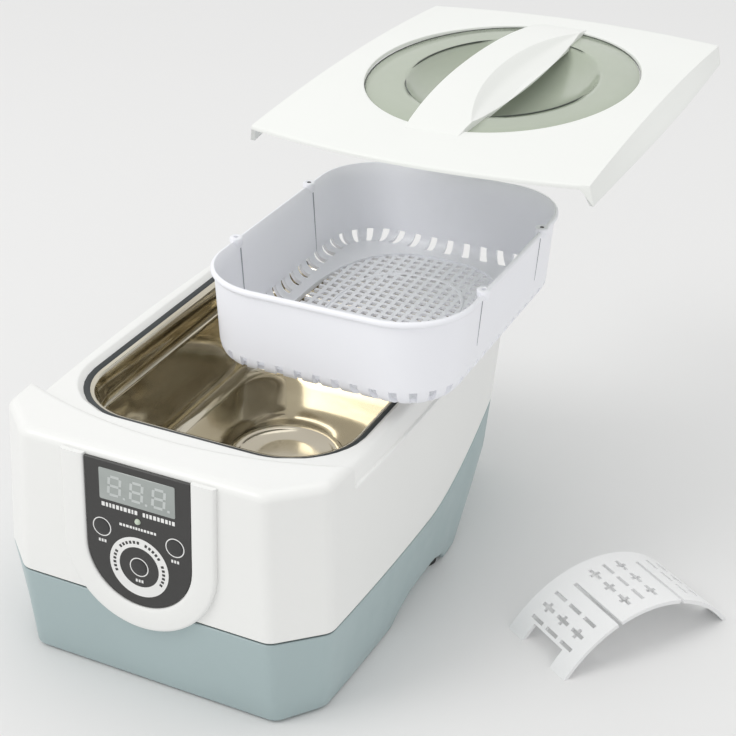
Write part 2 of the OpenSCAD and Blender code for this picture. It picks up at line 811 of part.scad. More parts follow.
module watch_rack() color("#f1f3f4")
    translate([rack_x, rack_y, 0]) rotate([0, 0, rack_turn])
        difference() {
            intersection() {
                translate([0, rack_w/2, rack_h - rack_r]) rotate([90, 0, 0])
                    difference() {
                        cylinder(r = rack_r, h = rack_w, $fn = 96);
                        translate([0, 0, -1])
                            cylinder(r = rack_r - rack_t, h = rack_w + 2, $fn = 96);
                    }
                translate([-rack_l/2, -rack_w/2 - 1, 0]) cube([rack_l, rack_w + 2, rack_h + 1]);
            }
            for (side = [-1, 1]) {
                rack_cut(side*rack_angle/3, -6, 2.2, rack_w - 8);
                translate([side*(rack_l/2 - 7), -rack_w/4, -1]) translate([-8, 0, 0])
                    cube([16, rack_w/2, 9]);
            }
            for (section = [-1:1]) rack_section(section*rack_angle*0.64, section == 0);
        }

upper_housing();
lower_shell();
front_bezel();
control_label();
display_window();
display_module();
indicator_led();
control_board();
tact_switches();
timer_down_button();
timer_up_button();
start_button();
tank();
tank_seal();
tank_clamps();
clamp_screws();
transducer_front_mass();
piezo_rings();
electrodes();
transducer_back_mass();
transducer_bolt();
driver_board();
inductor();
heat_sink();
power_transistors();
film_capacitors();
fuse();
board_screws();
housing_screws();
rubber_feet();
power_inlet();
inlet_pins();
inner_leads();
basket();
lid_cover();
lid_window();
window_clips();
watch_rack();
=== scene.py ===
import math
import bpy
import bmesh
from mathutils import Matrix, Vector


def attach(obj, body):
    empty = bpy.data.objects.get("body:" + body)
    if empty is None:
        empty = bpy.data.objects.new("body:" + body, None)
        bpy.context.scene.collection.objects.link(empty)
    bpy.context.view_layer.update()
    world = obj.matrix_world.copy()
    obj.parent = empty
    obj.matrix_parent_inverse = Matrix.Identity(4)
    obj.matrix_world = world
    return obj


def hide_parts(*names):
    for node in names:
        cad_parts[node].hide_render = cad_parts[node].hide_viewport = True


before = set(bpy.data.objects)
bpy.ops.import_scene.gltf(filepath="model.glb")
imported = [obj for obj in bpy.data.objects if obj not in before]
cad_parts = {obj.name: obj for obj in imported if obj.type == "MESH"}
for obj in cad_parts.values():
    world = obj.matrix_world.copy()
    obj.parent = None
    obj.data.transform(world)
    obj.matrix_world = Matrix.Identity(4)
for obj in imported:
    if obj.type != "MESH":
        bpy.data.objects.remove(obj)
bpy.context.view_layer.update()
MM = 0.001

# ---------------------------------------------------------------- sizes, in millimetres
HOUSING_W, HOUSING_L = 180, 262
LEDGE_Z, CONSOLE_Z, PARTING_Z = 118, 125, 49
CORNER_CUT, REAR_CUT = 3.5, 3.0
FRONT_Y, REAR_Y = -HOUSING_L / 2, HOUSING_L / 2
WALL = 2.5
CHAMFER_DEPTH, FRONT_HALF = 20, 65
SHOULDER_Z = 112
STEP_R, STEP_Y = 218, -104
TANK_W, TANK_L, TANK_R, TANK_Y = 138, 186, 34, 10
TANK_FLOOR, TANK_ROUND = 51, 13
BASKET_W, BASKET_L, BASKET_H, BASKET_R = 131, 177, 45, 36
BASKET_AT = (46, 35, 132.5)
BOSS_X, BOSS_Y = BASKET_W / 2 - 1.5, (-40, 38)
LID_W, LID_L, LID_BOW, LID_CROWN = 162, 219, 14, 4
SKIRT_W, SKIRT_DROP = 7, 8.5
LID_AT = (75, 100, 239)
WINDOW_W, WINDOW_L = 130, 173
LABEL_Z = 77.5


# ---------------------------------------------------------------- mesh helpers
def new_object(name, verts, faces, smooth=40):
    """An object from points in millimetres, smooth where faces meet at less than the angle."""
    mesh = bpy.data.meshes.new(name)
    mesh.from_pydata([Vector(v) * MM for v in verts], [], faces)
    bm = bmesh.new()
    bm.from_mesh(mesh)
    bmesh.ops.remove_doubles(bm, verts=bm.verts, dist=1e-6)
    bmesh.ops.dissolve_degenerate(bm, dist=1e-7, edges=bm.edges)
    bmesh.ops.recalc_face_normals(bm, faces=bm.faces)
    bm.to_mesh(mesh)
    bm.free()
    obj = bpy.data.objects.new(name, mesh)
    bpy.context.scene.collection.objects.link(obj)
    shade(obj, smooth)
    return obj


def shade(obj, angle=40):
    mesh = obj.data
    mesh.shade_smooth()
    mesh.set_sharp_from_angle(angle=math.radians(angle))


def apply_modifiers(obj, angle=40):
    dg = bpy.context.evaluated_depsgraph_get()
    mesh = bpy.data.meshes.new_from_object(obj.evaluated_get(dg))
    obj.modifiers.clear()
    obj.data = mesh
    shade(obj, angle)
    return obj


def solidify(obj, thickness, offset=-1, angle=40):
    """Gives a sheet its thickness in millimetres."""
    mod = obj.modifiers.new("thick", "SOLIDIFY")
    mod.thickness = thickness * MM
    mod.offset = offset
    mod.use_even_offset = False
    return apply_modifiers(obj, angle)


def cut_box(obj, low, high, angle=40):
    """Takes a box, given by two corners in millimetres, out of an object."""
    mesh = bpy.data.meshes.new("cutter")
    bm = bmesh.new()
    bmesh.ops.create_cube(bm, size=1)
    for v in bm.verts:
        v.co = Vector([(a + b) / 2 + c * (b - a) for a, b, c in zip(low, high, v.co)]) * MM
    bm.to_mesh(mesh)
    bm.free()
    cutter = bpy.data.objects.new("cutter", mesh)
    bpy.context.scene.collection.objects.link(cutter)
    mod = obj.modifiers.new("cut", "BOOLEAN")
    mod.object = cutter
    mod.operation = "DIFFERENCE"
    mod.solver = "EXACT"
    apply_modifiers(obj, angle)
    bpy.data.objects.remove(cutter)
    return obj


def bevel(obj, width, segments=2, limit=35, angle=40):
    mod = obj.modifiers.new("round", "BEVEL")
    mod.width = width * MM
    mod.segments = segments
    mod.limit_method = "ANGLE"
    mod.angle_limit = math.radians(limit)
    return apply_modifiers(obj, angle)


def join(name, objects):
    """One object out of several, with their shading kept."""
    bm = bmesh.new()
    for o in objects:
        bm.from_mesh(o.data)
    mesh = bpy.data.meshes.new(name)
    bm.to_mesh(mesh)
    bm.free()
    for o in objects:
        bpy.data.objects.remove(o)
    obj = bpy.data.objects.new(name, mesh)
    bpy.context.scene.collection.objects.link(obj)
    return obj


def loft(name, rings, cap_start=False, cap_end=False, closed=True, around=False, smooth=40):
    """A skin through rings with equal numbers of points; around joins the last to the first."""
    n = len(rings[0])
    verts = [p for ring in rings for p in ring]
    faces = []
    spans = len(rings) if around else len(rings) - 1
    for k in range(spans):
        a, b = k * n, ((k + 1) % len(rings)) * n
        for i in range(n if closed else n - 1):
            j = (i + 1) % n
            faces.append((a + i, a + j, b + j, b + i))
    if cap_start:
        faces.append(tuple(range(n))[::-1])
    if cap_end:
        faces.append(tuple(range(len(verts) - n, len(verts))))
    return new_object(name, verts, faces, smooth)


def lathe(name, profile, place, axis=(0, 0, 1), steps=48, smooth=35):
    """A turned shape: profile is (radius, height) pairs along the axis from place."""
    turn = Vector((0, 0, 1)).rotation_difference(Vector(axis)).to_matrix()
    place = Vector(place)
    rings = []
    for r, h in profile:
        ring = []
        for i in range(steps):
            a = 2 * math.pi * i / steps
            ring.append(place + turn @ Vector((r * math.cos(a), r * math.sin(a), h)))
        rings.append(ring)
    return loft(name, rings, cap_start=profile[0][0] > 0, cap_end=profile[-1][0] > 0,
                smooth=smooth)


def round_rect(hx, hy, r, z, arc=12, side=10):
    """Points round a rectangle with round corners, the same number for every size."""
    pts = []
    for q, (sx, sy) in enumerate(((1, -1), (1, 1), (-1, 1), (-1, -1))):
        cx, cy = sx * (hx - r), sy * (hy - r)
        for i in range(arc + 1):
            a = math.radians(q * 90 - 90 + 90 * i / arc)
            pts.append((cx + r * math.cos(a), cy + r * math.sin(a), z))
        ex, ey = ((1, 1), (-1, 1), (-1, -1), (1, -1))[q]
        end = pts[-1]
        nx, ny = ex * (hx - r), ey * (hy - r)
        a = math.radians((q + 1) * 90 - 90)
        start = (nx + r * math.cos(a), ny + r * math.sin(a), z)
        for i in range(1, side):
            t = i / side
            pts.append((end[0] + (start[0] - end[0]) * t, end[1] + (start[1] - end[1]) * t, z))
    return pts


def shifted(ring, dx, dy, dz=0):
    return [(x + dx, y + dy, z + dz) for x, y, z in ring]


def ease(t):
    t = max(0.0, min(1.0, t))
    return t * t * (3 - 2 * t)


# ---------------------------------------------------------------- materials
def material(name, colour, rough=0.4, metallic=0.0, patch=0.04, patch_scale=14, grain=0.02,
             grain_scale=900, rough_vary=0.08, coat=0.0, dark=None, stretch=(1, 1, 1),
             alpha=1.0):
    """A procedural surface: slow colour patches, which on the tank steel are painted reflection,
    fine grain in relief and gloss that varies.
    """
    mat = bpy.data.materials.new(name)
    mat.use_nodes = True
    nt = mat.node_tree
    nodes, links = nt.nodes, nt.links
    shader = nodes["Principled BSDF"]
    coords = nodes.new("ShaderNodeTexCoord")
    spread = nodes.new("ShaderNodeMapping")
    spread.inputs["Scale"].default_value = stretch
    links.new(coords.outputs["Object"], spread.inputs["Vector"])

    def noise(scale, detail):
        n = nodes.new("ShaderNodeTexNoise")
        n.inputs["Scale"].default_value = scale
        n.inputs["Detail"].default_value = detail
        links.new(spread.outputs["Vector"], n.inputs["Vector"])
        return n.outputs["Fac"]

    def remap(fac, low, high):
        m = nodes.new("ShaderNodeMapRange")
        m.inputs["From Min"].default_value = 0.3
        m.inputs["From Max"].default_value = 0.7
        m.inputs["To Min"].default_value = low
        m.inputs["To Max"].default_value = high
        links.new(fac, m.inputs["Value"])
        return m.outputs["Result"]

    slow = noise(patch_scale, 3)
    ramp = nodes.new("ShaderNodeValToRGB")
    second = dark or tuple(c * (1 - patch) for c in colour)
    ramp.color_ramp.elements[0].color = (*second, 1)
    ramp.color_ramp.elements[1].color = (*colour, 1)
    ramp.color_ramp.elements[0].position = 0.35
    ramp.color_ramp.elements[1].position = 0.62
    links.new(slow, ramp.inputs["Fac"])
    links.new(ramp.outputs["Color"], shader.inputs["Base Color"])
    links.new(remap(noise(patch_scale * 4, 4), rough - rough_vary, rough + rough_vary),
              shader.inputs["Roughness"])
    bump = nodes.new("ShaderNodeBump")
    bump.inputs["Strength"].default_value = min(1, grain * 10)
    bump.inputs["Distance"].default_value = 0.0002
    links.new(noise(grain_scale, 2), bump.inputs["Height"])
    links.new(bump.outputs["Normal"], shader.inputs["Normal"])
    shader.inputs["Metallic"].default_value = metallic
    shader.inputs["Coat Weight"].default_value = coat
    shader.inputs["Alpha"].default_value = alpha
    return mat


WHITE = material("white_plastic", (0.875, 0.88, 0.865), rough=0.36, patch=0.012, grain=0.004,
                 rough_vary=0.03, coat=0.1)
GREEN = material("grey_green_plastic", (0.40, 0.495, 0.505), rough=0.42, patch=0.035,
                 grain=0.012, grain_scale=1300, coat=0.05)
LABEL = material("label_film", (0.031, 0.030, 0.029), rough=0.4, patch=0.15, grain=0.015,
                 coat=0.2)
PRINT = material("label_print", (0.86, 0.86, 0.85), rough=0.5, patch=0.08, grain=0.02)
DISPLAY = material("display_pane", (0.36, 0.39, 0.375), rough=0.22, patch=0.06, grain=0.006,
                   coat=0.4)
DIGIT = material("display_segment", (0.55, 0.58, 0.57), rough=0.35, patch=0.1, grain=0.01)
BUTTON = material("button_film", (0.038, 0.038, 0.038), rough=0.45, patch=0.15, grain=0.03)
# painted reflection: the slow streaks between the pale and the darker colour stand for
# reflections in the polished steel
STEEL = material("polished_tank_steel_painted_reflection", (0.74, 0.70, 0.59), rough=0.11, metallic=1.0,
                 dark=(0.56, 0.51, 0.41), patch_scale=9, grain=0.012, grain_scale=60,
                 rough_vary=0.04, stretch=(1, 1, 3))
ZINC = material("zinc_plated_steel", (0.55, 0.56, 0.57), rough=0.35, metallic=1.0, patch=0.12,
                grain=0.03)
ALUMINIUM = material("turned_aluminium", (0.66, 0.66, 0.67), rough=0.3, metallic=1.0,
                     patch=0.08, grain=0.03)
SEAL = material("seal_rubber_skin", (0.035, 0.042, 0.045), rough=0.55, patch=0.25, grain=0.05)
BLACK = material("black_moulding", (0.022, 0.022, 0.023), rough=0.5, patch=0.2, grain=0.05)
BOARD = material("circuit_board_mask", (0.03, 0.13, 0.06), rough=0.35, patch=0.3,
                 patch_scale=70, grain=0.03)
CERAMIC = material("fired_ceramic", (0.28, 0.24, 0.18), rough=0.6, patch=0.2, grain=0.05)
COPPER = material("copper_alloy", (0.62, 0.40, 0.2), rough=0.35, metallic=1.0, patch=0.2,
                  grain=0.03)
WIRE = material("wire_insulation", (0.42, 0.07, 0.035), rough=0.5, patch=0.15, grain=0.03)
FOOT = material("foot_rubber_skin", (0.028, 0.028, 0.028), rough=0.75, patch=0.25, grain=0.08)
LED = material("led_lens_skin", (0.62, 0.70, 0.58), rough=0.25, patch=0.08, grain=0.01)
BASKET = material("basket_polypropylene", (0.93, 0.938, 0.985), rough=0.36, patch=0.012,
                  grain=0.006, rough_vary=0.04, coat=0.1)
# painted shade: grey for the shade inside the basket's narrow slits
SHADOW_LINE = material("basket_slit_painted_shade", (0.33, 0.34, 0.38), rough=0.6, patch=0.1, grain=0.02)
LID = material("lid_white_plastic", (0.865, 0.88, 0.855), rough=0.36, patch=0.012,
               grain=0.004, rough_vary=0.03, coat=0.1)
RACK = material("rack_polypropylene", (0.86, 0.865, 0.87), rough=0.4, patch=0.012, grain=0.008,
                rough_vary=0.04)
WINDOW = material("window_acrylic", (0.47, 0.525, 0.42), rough=0.16, patch=0.05, grain=0.004,
                  coat=0.3, alpha=0.84)
# dark for the real joint round the pane, and painted shade on the rims of the finger dish
WINDOW_JOINT_AND_SHADE = material("window_joint_and_painted_shade", (0.06, 0.075, 0.06), rough=0.35, patch=0.2, grain=0.02)


def dress(piece, mat, body, slot, *nodes):
    """Gives a piece its material and its body, and hides the nodes it stands for; slot is not
    used.
    """
    piece.data.materials.clear()
    piece.data.materials.append(mat)
    if nodes:
        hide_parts(*nodes)
    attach(piece, body)
    return piece


# ---------------------------------------------------------------- housing outline
def lower_in(z):
    return 0.12 * max(PARTING_Z - z, 0)


def upper_in(z):
    return 0.04 * max(z - PARTING_Z, 0)


def face_y(z):
    return FRONT_Y + lower_in(z) * 0.9 + upper_in(z)


def side_x(y, z):
    return HOUSING_W / 2 - lower_in(z) - upper_in(z) - 3 * (y / 100) ** 2


def rear_half(z):
    return 54 + 0.15 * z


def softened(before, corner, after, cut, steps=5):
    """Points of a small round in place of a corner."""
    a, c, b = Vector(before), Vector(corner), Vector(after)
    start = c + (a - c).normalized() * min(cut, 0.8 * (a - c).length)
    end = c + (b - c).normalized() * min(cut, 0.48 * (b - c).length)
    out = []
    for i in range(steps + 1):
        t = i / steps
        out.append(tuple(start * (1 - t) ** 2 + c * 2 * t * (1 - t) + end * t * t))
    return out


def half_outline(z, inset=0.0):
    """Right half of the housing's plan at a height, from the front's middle to the rear's."""
    chamfer_y = face_y(z) + CHAMFER_DEPTH
    start, last = 40 + 0.52 * z, REAR_Y - 6
    front = (FRONT_HALF - upper_in(z) - inset * 0.4, face_y(z) + inset)
    side = [(side_x(chamfer_y, z) - inset, chamfer_y + inset * 0.4)]
    for i in range(1, 25):
        y = chamfer_y + (start - chamfer_y) * i / 24
        side.append((side_x(y, z) - inset, y))
    wide = side_x(start, z)
    for i in range(1, 19):
        t = i / 18
        side.append((wide - (wide - rear_half(z)) * t ** 1.2 - inset,
                     start + (last - start) * t - inset * t))
    rear = (rear_half(z) - 6 - inset * 0.5, REAR_Y - inset)
    pts = [(front[0] * i / 14, front[1]) for i in range(14)]
    pts += softened(pts[-1], front, side[0], CORNER_CUT)
    pts += softened(front, side[0], side[1], CORNER_CUT)
    pts += side[2:-1]
    pts += softened(side[-2], side[-1], rear, REAR_CUT)
    pts += softened(side[-1], rear, (0, rear[1]), REAR_CUT)
    pts += [(rear[0] * (1 - i / 10), rear[1]) for i in range(1, 10)]
    pts.append((0, rear[1]))
    return pts


def parting_at(y):
    """Height of the joint between the two shells, which sweeps up to the rear."""
    return PARTING_Z + 0.0324 * max(min(y, 80) + 5, 0) ** 1.5


def outline(height, inset=0.0):
    """Closed plan ring of the housing at a height, which may be a function of y."""
    if callable(height):
        half = []
        for i, p in enumerate(half_outline(height(0), inset)):
            z = height(half_outline(height(p[1]), inset)[i][1])
            half.append((*half_outline(z, inset)[i], z))
    else:
        half = [(x, y, height) for x, y in half_outline(height, inset)]
    left = [(-x, y, z) for x, y, z in half[1:-1]]
    return half + left[::-1]


def on_ray(px, py, hx, hy, r, cx, cy):
    """Where the ray from (cx, cy) through a point leaves a rectangle with round corners."""
    dx, dy = px - cx, py - cy
    size = math.hypot(dx, dy)
    dx, dy = dx / size, dy / size
    lo, hi = 0.0, 400.0
    for _ in range(40):
        t = (lo + hi) / 2
        x, y = abs(dx * t), abs(dy * t)
        ox, oy = max(x - (hx - r), 0), max(y - (hy - r), 0)
        inside = x <= hx and y <= hy and (ox * ox + oy * oy <= r * r or not (ox and oy))
        lo, hi = (t, hi) if inside else (lo, t)
    return cx + dx * lo, cy + dy * lo


def between_z(t):
    """Heights from the joint, at t = 0, to just under the shoulder, at t = 1."""
    return lambda y: (parting_at(y) + 0.15) * (1 - t) + (SHOULDER_Z - 2) * t


# ---------------------------------------------------------------- upper housing
def step_edge(x):
    """Where the rear edge of the raised console bows across the housing."""
    return STEP_Y + STEP_R - math.sqrt(max(STEP_R ** 2 - x * x, 0))


def console_ring(z, inset):
    """Plan of the console: the housing's front, closed by the bowed step."""
    half = half_outline(z, inset)
    front = []
    for k, (x, y) in enumerate(half):
        if y > step_edge(x) - inset:
            a = half[k - 1]
            lo, hi = 0.0, 1.0
            for _ in range(30):
                m = (lo + hi) / 2
                mx, my = a[0] + (x - a[0]) * m, a[1] + (y - a[1]) * m
                lo, hi = (m, hi) if my < step_edge(mx) - inset else (lo, m)
            front.append((a[0] + (x - a[0]) * lo, a[1] + (y - a[1]) * lo))
            break
        front.append((x, y))
    while len(front) < 30:
        front.insert(-1, tuple((Vector(front[-2]) + Vector(front[-1])) / 2))
    end = front[-1]
    half = front[:29] + [end]
    for i in range(1, 25):
        x = end[0] * (1 - i / 24)
        half.append((x, step_edge(x) - inset))
    ring = [(x, y, z) for x, y in half]
    return ring + [(-x, y, z) for x, y in half[1:-1]][::-1]


def make_upper():
    rings = [outline(lambda y: parting_at(y) + 0.5, 0.45), outline(between_z(0.012), 0.0)]
    for t in (0.25, 0.5, 0.75, 1.0):
        rings.append(outline(between_z(t), 0.0))
    profile = [(110.7, 0.08), (111.3, 0.4), (111.5, 0.9), (111.5, 1.7), (111.9, 2.0),
               (113.2, 2.6), (116.2, 4.4), (117.2, 5.1), (117.8, 6.1), (LEDGE_Z, 7.4)]
    for z, inset in profile:
        rings.append(outline(z, inset))
    top = rings[-1]
    for grow, z, r in ((3.6, LEDGE_Z, 41.5), (3.0, 117.95, 41.2), (2.4, 117.6, 40.4),
                       (0.3, 115.8, 38.2), (0.0, 115.2, 38.0), (0.0, 114.0, 38.0)):
        hx, hy = TANK_W / 2 + 4.5 + grow, TANK_L / 2 + 4.5 + grow
        rings.append([(*on_ray(p[0], p[1], hx, hy, r, 0, TANK_Y), z) for p in top])
    shell = solidify(loft("shell", rings), 1.8)

    # raised console in front of the bowed step
    levels = [(110.0, 0.0), (120.6, 0.0), (121.8, 0.25), (122.9, 0.8), (123.8, 1.6),
              (124.5, 2.7), (124.9, 4.0), (CONSOLE_Z, 5.4)]
    rings = [console_ring(z, inset) for z, inset in levels]
    console = loft("console", rings, cap_start=True, cap_end=True, smooth=30)
    upper = join("upper_shell", [shell, console])
    shade(upper, 32)
    upper.modifiers.new("even", "WEIGHTED_NORMAL").keep_sharp = True
    return dress(upper, WHITE, "base", "white_shell", "upper_housing")


ARCH = [(-150, 1), (-36.5, 1), (-35, 3.5), (-30, 7.0), (-18, 11), (10, 11), (22, 7.0),
        (27, 3.5), (28.5, 1), (150, 1)]


def arch_z(y):
    """Height of the lower edge, arched between the feet."""
    for (y0, z0), (y1, z1) in zip(ARCH, ARCH[1:]):
        if y0 <= y <= y1:
            t = (y - y0) / (y1 - y0)
            return z0 + (z1 - z0) * (ease(t) if z0 != z1 else 0)
    return 1


def make_lower():
    def below_joint(d):
        return lambda y: parting_at(y) - d

    def lifted(d):
        return lambda y: arch_z(y) + d

    def up(t):
        return lambda y: (arch_z(y) + 1.6) * (1 - t) + (parting_at(y) - 1.0) * t

    rings = [outline(below_joint(0.5), WALL), outline(below_joint(0.5), 0.5),
             outline(below_joint(0.9), 0.05)]
    for t in (0.97, 0.75, 0.5, 0.25, 0.0):
        rings.append(outline(up(t), 0.0))
    rings += [outline(lifted(0.7), 0.3), outline(lifted(0.15), 0.9), outline(lifted(0.0), 1.6),
              outline(lifted(0.0), 6.0), outline(1.0, 6.2), outline(1.0, 7.0), outline(2.0, 7.4)]
    body = loft("lower_skin", rings, cap_end=True)
    inner = [outline(below_joint(0.5), WALL), outline(20, WALL), outline(12, 9),
             outline(4.5, 16)]
    liner = loft("lower_inside", inner, cap_end=True)
    lower = join("lower_body", [body, liner])
    bm = bmesh.new()
    bm.from_mesh(lower.data)
    bmesh.ops.remove_doubles(bm, verts=bm.verts, dist=1e-5)
    bmesh.ops.recalc_face_normals(bm, faces=bm.faces)
    bm.to_mesh(lower.data)
    bm.free()
    shade(lower, 32)
    inlet_low, inlet_high = (-11.9, 118, 24.1), (11.9, 140, 39.9)
    cut_box(lower, inlet_low, inlet_high, 32)
    return dress(lower, GREEN, "base", "grey_green_shell", "lower_shell")


# ---------------------------------------------------------------- control panel
TILT = math.atan(0.04)


def panel_point(x, depth, z):
    """A point on the tilted front wall: depth is inwards, z up the wall from the bench."""
    up = z - PARTING_Z
    return (x, FRONT_Y + depth * math.cos(TILT) + up * math.sin(TILT),
            PARTING_Z + up * math.cos(TILT) - depth * math.sin(TILT))


PANEL_IN = Vector((0, math.cos(TILT), -math.sin(TILT)))
PRINT_DEPTH, SEGMENT_DEPTH = -1.66, -1.94
SMALL_X, SMALL_Z, BIG_Z, SCREEN_Z = 19, 87, 71, 110


def tongue_path(r, top, steps=40, rows=10):
    """U-shaped path: down the left side, round the bottom and up the right side."""
    pts = [(-r, top - (top - LABEL_Z) * i / rows) for i in range(rows)]
    for i in range(steps + 1):
        a = math.pi + math.pi * i / steps
        pts.append((r * math.cos(a), LABEL_Z + r * math.sin(a)))
    pts += [(r, LABEL_Z + (top - LABEL_Z) * i / rows) for i in range(1, rows + 1)]
    return pts


def make_bezel():
    section = [(39.5, 1.6), (39.5, -1.1), (39.3, -1.8), (38.7, -2.35), (37.8, -2.6),
               (29.2, -2.6), (28.3, -2.45), (27.75, -2.05), (27.55, -1.5), (27.5, -0.1)]
    rings = []
    for r, depth in section:
        ring = []
        for x, z in tongue_path(r, 122.6):
            lean = 0.0
            if depth > 0:
                lean = -1.65 if z > 48.6 else -1.5 + 0.145 * (48.6 - z)
            ring.append(panel_point(x, depth + lean, z))
        rings.append(ring)
    bezel = loft("panel_surround", rings, closed=False, around=True, smooth=35)
    bm = bmesh.new()
    bm.from_mesh(bezel.data)
    bmesh.ops.holes_fill(bm, edges=[e for e in bm.edges if e.is_boundary], sides=0)
    bmesh.ops.recalc_face_normals(bm, faces=bm.faces)
    bm.to_mesh(bezel.data)
    bm.free()
    shade(bezel, 35)
    return dress(bezel, WHITE, "base", "white_shell", "front_bezel")


def make_label():
    rings = []
    for r, depth, top in ((27.2, -0.06, 121.6), (27.2, -1.45, 121.6), (27.05, -1.6, 121.45)):
        rings.append([panel_point(x, depth, z) for x, z in tongue_path(r, top)])
    label = loft("panel_label", rings, cap_start=True, cap_end=True, smooth=35)
    return dress(label, LABEL, "base", "dark_label", "control_label")


def flat_ring(verts, faces, cx, cz, inner, outer, start=0.0, end=360.0, steps=48):
    """Adds a flat ring, or a part of one, on the panel."""
    base = len(verts)
    for i in range(steps + 1):
        a = math.radians(start + (end - start) * i / steps)
        for r in (inner, outer):
            verts.append(panel_point(cx + r * math.cos(a), PRINT_DEPTH, cz + r * math.sin(a)))
    for i in range(steps):
        k = base + 2 * i
        faces.append((k, k + 1, k + 3, k + 2))


def flat_bar(verts, faces, cx, cz, w, h, depth=PRINT_DEPTH, lean=0.0):
    """Adds a flat bar on the panel, leaning sideways at the top."""
    base = len(verts)
    for sx, sz in ((-1, -1), (1, -1), (1, 1), (-1, 1)):
        verts.append(panel_point(cx + sx * w / 2 + sz * lean, depth, cz + sz * h / 2))
    faces.append((base, base + 1, base + 2, base + 3))


def make_print():
    """Generic marks in place of the panel's printed words, and the rings round the buttons."""
    verts, faces = [], []
    for x in (-SMALL_X, SMALL_X):
        flat_ring(verts, faces, x, SMALL_Z, 4.35, 4.85)
        for k in range(3):
            flat_bar(verts, faces, x + (k - 1) * 1.5, SMALL_Z - 7.2, 1.0, 1.5)
    flat_ring(verts, faces, 0, BIG_Z, 10.3, 15.4, steps=72)
    flat_ring(verts, faces, 0, BIG_Z, 4.4, 4.9)
    for k in range(3):
        flat_bar(verts, faces, (k - 1) * 1.5, BIG_Z - 7.3, 1.0, 1.5)
    widths = (1.6, 1.2, 1.0, 1.3, 1.5, 1.2, 1.6, 1.3, 0.9, 1.4)
    x, k, word_gap = -18.6, 0, 10
    while x < 18.2:
        w = widths[k % len(widths)]
        if k != word_gap:
            flat_bar(verts, faces, x + w / 2, 99.4, w, 2.1)
        x += w + 0.62
        k += 1
    x, k = -9.6, 0
    while x < 9.0:
        w = widths[(k * 3) % len(widths)] * 0.85
        flat_bar(verts, faces, x + w / 2, 91.2, w, 1.3)
        x += w + 0.5
        k += 1
    marks = solidify(new_object("panel_marks", verts, faces), 0.05, 0)
    dress(marks, PRINT, "base", "white_shell")
    verts, faces = [], []
    for k in range(26):
        if k in (6, 13, 19):
            continue
        a0 = 204 - k * 9.2
        flat_ring(verts, faces, 0, BIG_Z, 12.1, 13.6, a0, a0 - 5.4, steps=2)
    ticks = new_object("ring_marks", verts, faces)
    for v in ticks.data.vertices:
        v.co -= PANEL_IN * 0.07 * MM
    dress(solidify(ticks, 0.04, 0), LABEL, "base", "dark_label")


def make_display():
    def plate(hx, hz, depth, r):
        return [panel_point(x, depth, SCREEN_Z + z) for x, z, _ in round_rect(hx, hz, r, 0, 4, 3)]

    rings = [plate(19.5, 8, -0.3, 0.8), plate(19.5, 8, -1.72, 0.8), plate(19.3, 7.8, -1.9, 0.7)]
    pane = loft("display_glass", rings, cap_start=True, cap_end=True)
    dress(pane, DISPLAY, "base", "display_grey", "display_window")
    verts, faces = [], []
    for digit in (-1, 0, 1):
        cx = digit * 11.4
        for z in (-4.6, 0, 4.6):
            flat_bar(verts, faces, cx + z * 0.08, SCREEN_Z + z, 4.4, 1.3, SEGMENT_DEPTH)
        for sx in (-1, 1):
            for z in (-2.3, 2.3):
                flat_bar(verts, faces, cx + sx * 2.9 + z * 0.08, SCREEN_Z + z, 1.4, 3.5,
                         SEGMENT_DEPTH, 0.14)
        flat_bar(verts, faces, cx + 4.9, SCREEN_Z - 5.0, 1.2, 1.2, SEGMENT_DEPTH)
    digits = solidify(new_object("display_digits", verts, faces), 0.04, 0)
    dress(digits, DIGIT, "base", "display_grey")


def make_buttons():
    profile = [(3.0, -3.5), (5.3, -3.5), (5.3, -2.8), (3.9, -2.7), (3.9, 1.55), (3.75, 1.85),
               (3.45, 1.98), (2.4, 2.06), (1.2, 2.1), (0.0, 2.12)]
    for node, body, x, z in (("timer_down_button", "down_key", -SMALL_X, SMALL_Z),
                             ("timer_up_button", "up_key", SMALL_X, SMALL_Z),
                             ("start_button", "start_key", 0, BIG_Z)):
        cap = lathe(node + "_cap", profile, panel_point(x, 0, z), -PANEL_IN)
        dress(cap, BUTTON, body, "button_grey", node)


# ---------------------------------------------------------------- tank and seal
def tank_ring(hx, hy, r, z):
    return shifted(round_rect(hx, hy, r, z, 14, 14), 0, TANK_Y)


